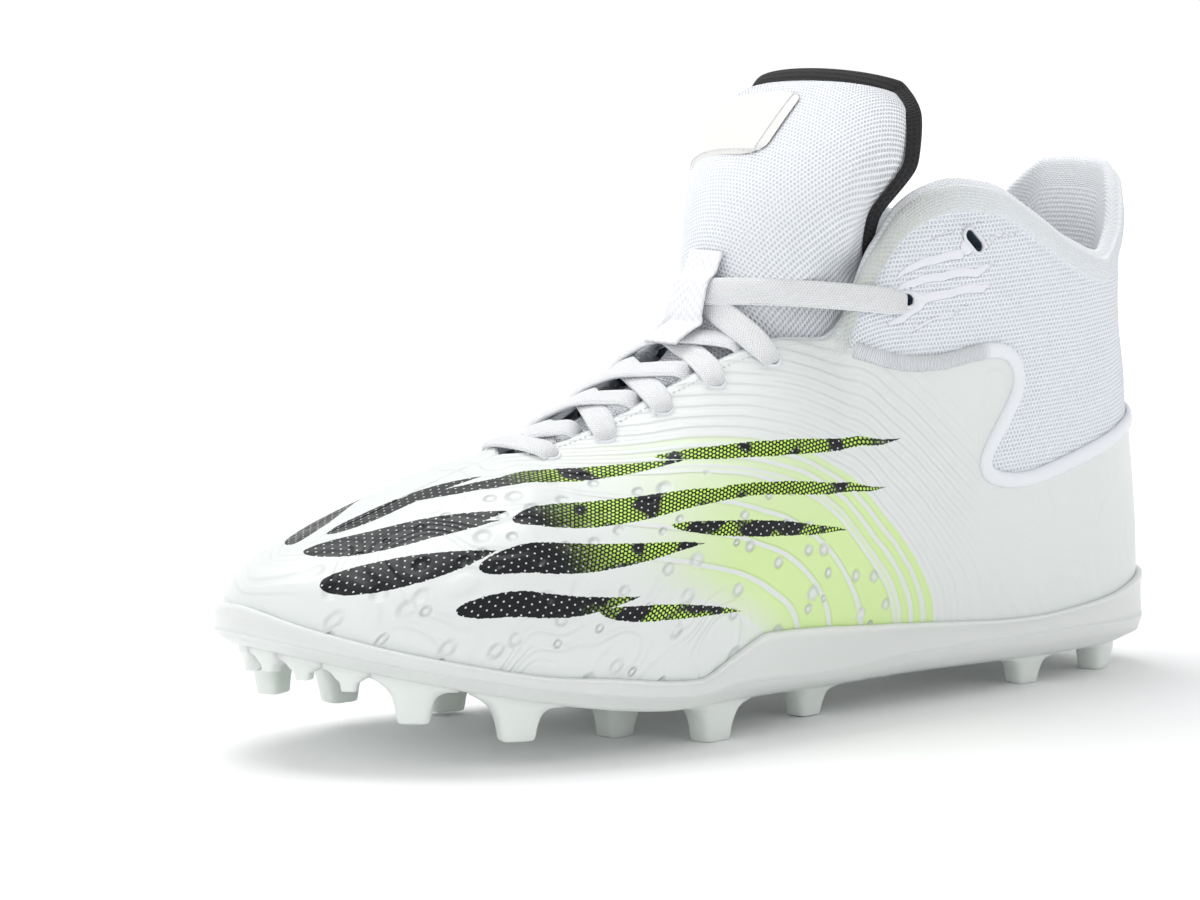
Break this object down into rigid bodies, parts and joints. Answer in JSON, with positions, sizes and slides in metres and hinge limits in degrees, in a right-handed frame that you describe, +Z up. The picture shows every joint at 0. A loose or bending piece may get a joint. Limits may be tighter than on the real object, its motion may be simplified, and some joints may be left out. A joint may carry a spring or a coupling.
{
  "type": "lacrosse cleat",
  "caption": "Low-to-mid lacrosse cleat, left shoe: moulded pale shell over an ankle bootie, criss-cross laces, tall padded tongue and a translucent plate with twelve blade studs.",
  "frame": {"origin": "middle of the footprint on the ground plane under the studs", "axes": "+X from heel to toe, +Y to the outer side of the left foot, +Z up"},
  "size_m": [0.2916, 0.0996, 0.1674],
  "materials": {
    "shell": "semi-matte moulded synthetic",
    "plate": "milky translucent moulded plate",
    "lining": "padded mesh and knit",
    "webbing": "flat woven laces and webbing"
  },
  "bodies": {
    "root": {"upper": "shell", "outsole": "plate", "insole": "lining", "tongue": "lining", "tongue_label": "lining", "lace_keeper": "webbing", "ankle_seam": "webbing", "lace_bar": "webbing", "lace_cross_1": "webbing", "lace_cross_2": "webbing", "lace_cross_3": "webbing", "lace_top": "webbing"}
  },
  "joints": []
}
